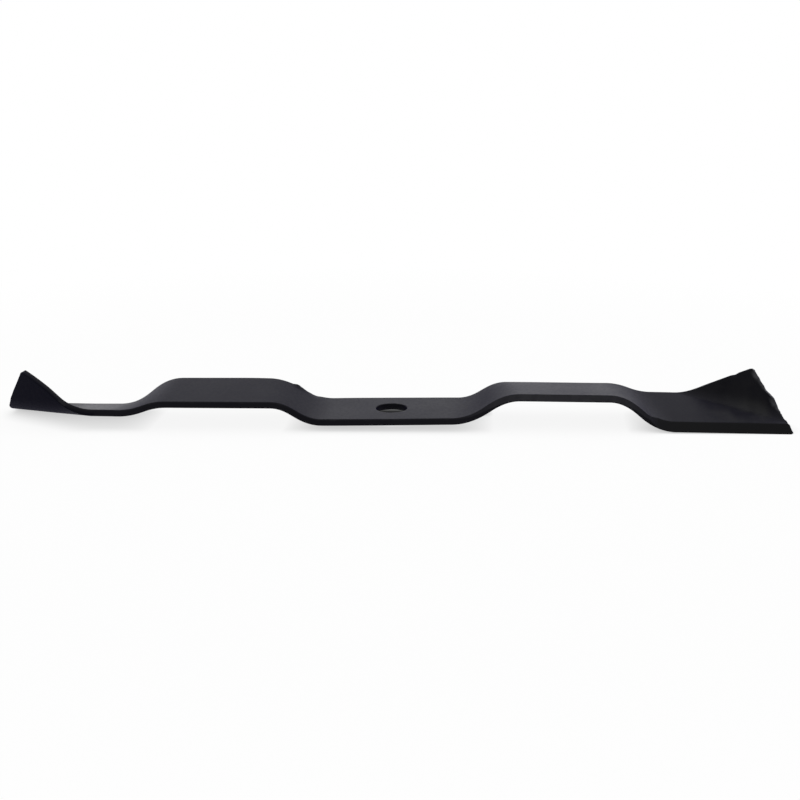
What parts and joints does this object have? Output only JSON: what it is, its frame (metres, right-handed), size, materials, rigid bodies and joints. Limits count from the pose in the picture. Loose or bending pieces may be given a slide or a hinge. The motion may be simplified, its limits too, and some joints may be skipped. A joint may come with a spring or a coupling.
{
  "type": "rotary mower blade",
  "caption": "Flat steel mower blade bored for its spindle, with raised shoulders, ground cutting edges and sails folded up across the trailing corners of its tips.",
  "frame": {"origin": "centre of the spindle bore, on the upper face of the centre pad", "axes": "+Z along the bore axis, up towards the side the sails stand on; +X along the blade, towards the tip whose cutting edge faces -Y"},
  "size_m": [0.635, 0.0666, 0.043],
  "materials": {
    "black_paint": "satin black paint over formed steel, scuffed at the edges and chipped at one tip"
  },
  "bodies": {
    "root": {"blade": "black_paint"}
  },
  "joints": []
}
